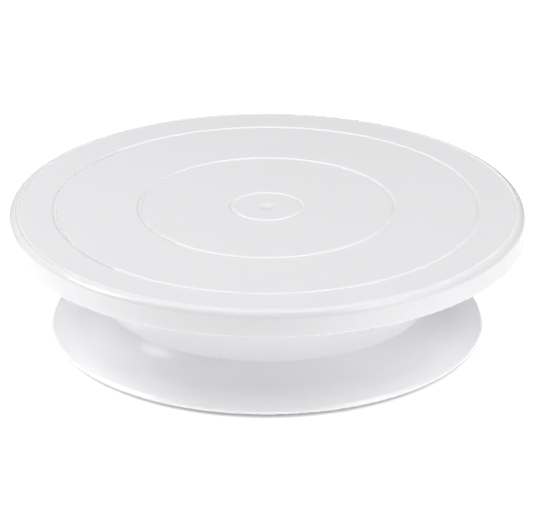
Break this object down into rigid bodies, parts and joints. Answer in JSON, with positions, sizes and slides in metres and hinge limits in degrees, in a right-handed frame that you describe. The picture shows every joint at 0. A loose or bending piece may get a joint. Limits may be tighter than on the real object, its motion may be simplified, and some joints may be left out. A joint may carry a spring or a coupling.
{
  "type": "cake turntable",
  "caption": "Round cake-decorating turntable: a flat skirted plate with shallow centring rings, turning freely on a caged ball ring above a flared, hollow base.",
  "frame": {"origin": "on the surface the turntable stands on, under the plate's centre", "axes": "+Z is the turning axis, up through the plate; +X and +Y are level, with the viewer at -Y"},
  "size_m": [0.28, 0.28, 0.07],
  "materials": {
    "plate_plastic": "glossy cool white moulding",
    "base_plastic": "glossy cool white moulding",
    "bush_plastic": "natural acetal",
    "cage_plastic": "natural nylon",
    "nylon": "natural nylon",
    "foot_rubber": "pale grey rubber",
    "spindle_steel": "turned, zinc plated",
    "washer_steel": "zinc plated",
    "screw_steel": "zinc plated",
    "ball_steel": "polished bearing steel"
  },
  "bodies": {
    "base": {"base_shell": "base_plastic", "centre_bush": "bush_plastic", "foot_ring": "foot_rubber"},
    "plate": {"top_plate": "plate_plastic", "spindle": "spindle_steel", "retaining_washer": "washer_steel", "slide_washer": "nylon", "retaining_screw": "screw_steel"},
    "cage": {"ball_cage": "cage_plastic"},
    "ball_01": {"ball_01": "ball_steel"},
    "ball_02": {"ball_02": "ball_steel"},
    "ball_03": {"ball_03": "ball_steel"},
    "ball_04": {"ball_04": "ball_steel"},
    "ball_05": {"ball_05": "ball_steel"},
    "ball_06": {"ball_06": "ball_steel"},
    "ball_07": {"ball_07": "ball_steel"},
    "ball_08": {"ball_08": "ball_steel"},
    "ball_09": {"ball_09": "ball_steel"},
    "ball_10": {"ball_10": "ball_steel"},
    "ball_11": {"ball_11": "ball_steel"},
    "ball_12": {"ball_12": "ball_steel"},
    "ball_13": {"ball_13": "ball_steel"},
    "ball_14": {"ball_14": "ball_steel"},
    "ball_15": {"ball_15": "ball_steel"},
    "ball_16": {"ball_16": "ball_steel"},
    "ball_17": {"ball_17": "ball_steel"},
    "ball_18": {"ball_18": "ball_steel"},
    "ball_19": {"ball_19": "ball_steel"},
    "ball_20": {"ball_20": "ball_steel"},
    "ball_21": {"ball_21": "ball_steel"},
    "ball_22": {"ball_22": "ball_steel"},
    "ball_23": {"ball_23": "ball_steel"},
    "ball_24": {"ball_24": "ball_steel"}
  },
  "joints": [
    {"name": "plate_spin", "type": "hinge", "parent": "base", "child": "plate", "pos_m": [0, 0, 0], "axis": [0, 0, 1], "continuous": true},
    {"name": "cage_orbit", "type": "hinge", "parent": "base", "child": "cage", "pos_m": [0, 0, 0], "axis": [0, 0, 1], "continuous": true},
    {"name": "ball_01_roll", "type": "hinge", "parent": "cage", "child": "ball_01", "pos_m": [0.062, 0, 0.0642], "axis": [1, 0, 0], "continuous": true},
    {"name": "ball_02_roll", "type": "hinge", "parent": "cage", "child": "ball_02", "pos_m": [0.05989, 0.01605, 0.0642], "axis": [0.9659, 0.2588, 0], "continuous": true},
    {"name": "ball_03_roll", "type": "hinge", "parent": "cage", "child": "ball_03", "pos_m": [0.05369, 0.031, 0.0642], "axis": [0.866, 0.5, 0], "continuous": true},
    {"name": "ball_04_roll", "type": "hinge", "parent": "cage", "child": "ball_04", "pos_m": [0.04384, 0.04384, 0.0642], "axis": [0.7071, 0.7071, 0], "continuous": true},
    {"name": "ball_05_roll", "type": "hinge", "parent": "cage", "child": "ball_05", "pos_m": [0.031, 0.05369, 0.0642], "axis": [0.5, 0.866, 0], "continuous": true},
    {"name": "ball_06_roll", "type": "hinge", "parent": "cage", "child": "ball_06", "pos_m": [0.01605, 0.05989, 0.0642], "axis": [0.2588, 0.9659, 0], "continuous": true},
    {"name": "ball_07_roll", "type": "hinge", "parent": "cage", "child": "ball_07", "pos_m": [0, 0.062, 0.0642], "axis": [0, 1, 0], "continuous": true},
    {"name": "ball_08_roll", "type": "hinge", "parent": "cage", "child": "ball_08", "pos_m": [-0.01605, 0.05989, 0.0642], "axis": [-0.2588, 0.9659, 0], "continuous": true},
    {"name": "ball_09_roll", "type": "hinge", "parent": "cage", "child": "ball_09", "pos_m": [-0.031, 0.05369, 0.0642], "axis": [-0.5, 0.866, 0], "continuous": true},
    {"name": "ball_10_roll", "type": "hinge", "parent": "cage", "child": "ball_10", "pos_m": [-0.04384, 0.04384, 0.0642], "axis": [-0.7071, 0.7071, 0], "continuous": true},
    {"name": "ball_11_roll", "type": "hinge", "parent": "cage", "child": "ball_11", "pos_m": [-0.05369, 0.031, 0.0642], "axis": [-0.866, 0.5, 0], "continuous": true},
    {"name": "ball_12_roll", "type": "hinge", "parent": "cage", "child": "ball_12", "pos_m": [-0.05989, 0.01605, 0.0642], "axis": [-0.9659, 0.2588, 0], "continuous": true},
    {"name": "ball_13_roll", "type": "hinge", "parent": "cage", "child": "ball_13", "pos_m": [-0.062, 0, 0.0642], "axis": [-1, 0, 0], "continuous": true},
    {"name": "ball_14_roll", "type": "hinge", "parent": "cage", "child": "ball_14", "pos_m": [-0.05989, -0.01605, 0.0642], "axis": [-0.9659, -0.2588, 0], "continuous": true},
    {"name": "ball_15_roll", "type": "hinge", "parent": "cage", "child": "ball_15", "pos_m": [-0.05369, -0.031, 0.0642], "axis": [-0.866, -0.5, 0], "continuous": true},
    {"name": "ball_16_roll", "type": "hinge", "parent": "cage", "child": "ball_16", "pos_m": [-0.04384, -0.04384, 0.0642], "axis": [-0.7071, -0.7071, 0], "continuous": true},
    {"name": "ball_17_roll", "type": "hinge", "parent": "cage", "child": "ball_17", "pos_m": [-0.031, -0.05369, 0.0642], "axis": [-0.5, -0.866, 0], "continuous": true},
    {"name": "ball_18_roll", "type": "hinge", "parent": "cage", "child": "ball_18", "pos_m": [-0.01605, -0.05989, 0.0642], "axis": [-0.2588, -0.9659, 0], "continuous": true},
    {"name": "ball_19_roll", "type": "hinge", "parent": "cage", "child": "ball_19", "pos_m": [0, -0.062, 0.0642], "axis": [0, -1, 0], "continuous": true},
    {"name": "ball_20_roll", "type": "hinge", "parent": "cage", "child": "ball_20", "pos_m": [0.01605, -0.05989, 0.0642], "axis": [0.2588, -0.9659, 0], "continuous": true},
    {"name": "ball_21_roll", "type": "hinge", "parent": "cage", "child": "ball_21", "pos_m": [0.031, -0.05369, 0.0642], "axis": [0.5, -0.866, 0], "continuous": true},
    {"name": "ball_22_roll", "type": "hinge", "parent": "cage", "child": "ball_22", "pos_m": [0.04384, -0.04384, 0.0642], "axis": [0.7071, -0.7071, 0], "continuous": true},
    {"name": "ball_23_roll", "type": "hinge", "parent": "cage", "child": "ball_23", "pos_m": [0.05369, -0.031, 0.0642], "axis": [0.866, -0.5, 0], "continuous": true},
    {"name": "ball_24_roll", "type": "hinge", "parent": "cage", "child": "ball_24", "pos_m": [0.05989, -0.01605, 0.0642], "axis": [0.9659, -0.2588, 0], "continuous": true}
  ],
  "couplings": [
    {"joint": "cage_orbit", "follows": "plate_spin", "ratio": 0.5},
    {"joint": "ball_01_roll", "follows": "plate_spin", "ratio": -10.333},
    {"joint": "ball_02_roll", "follows": "plate_spin", "ratio": -10.333},
    {"joint": "ball_03_roll", "follows": "plate_spin", "ratio": -10.333},
    {"joint": "ball_04_roll", "follows": "plate_spin", "ratio": -10.333},
    {"joint": "ball_05_roll", "follows": "plate_spin", "ratio": -10.333},
    {"joint": "ball_06_roll", "follows": "plate_spin", "ratio": -10.333},
    {"joint": "ball_07_roll", "follows": "plate_spin", "ratio": -10.333},
    {"joint": "ball_08_roll", "follows": "plate_spin", "ratio": -10.333},
    {"joint": "ball_09_roll", "follows": "plate_spin", "ratio": -10.333},
    {"joint": "ball_10_roll", "follows": "plate_spin", "ratio": -10.333},
    {"joint": "ball_11_roll", "follows": "plate_spin", "ratio": -10.333},
    {"joint": "ball_12_roll", "follows": "plate_spin", "ratio": -10.333},
    {"joint": "ball_13_roll", "follows": "plate_spin", "ratio": -10.333},
    {"joint": "ball_14_roll", "follows": "plate_spin", "ratio": -10.333},
    {"joint": "ball_15_roll", "follows": "plate_spin", "ratio": -10.333},
    {"joint": "ball_16_roll", "follows": "plate_spin", "ratio": -10.333},
    {"joint": "ball_17_roll", "follows": "plate_spin", "ratio": -10.333},
    {"joint": "ball_18_roll", "follows": "plate_spin", "ratio": -10.333},
    {"joint": "ball_19_roll", "follows": "plate_spin", "ratio": -10.333},
    {"joint": "ball_20_roll", "follows": "plate_spin", "ratio": -10.333},
    {"joint": "ball_21_roll", "follows": "plate_spin", "ratio": -10.333},
    {"joint": "ball_22_roll", "follows": "plate_spin", "ratio": -10.333},
    {"joint": "ball_23_roll", "follows": "plate_spin", "ratio": -10.333},
    {"joint": "ball_24_roll", "follows": "plate_spin", "ratio": -10.333}
  ]
}
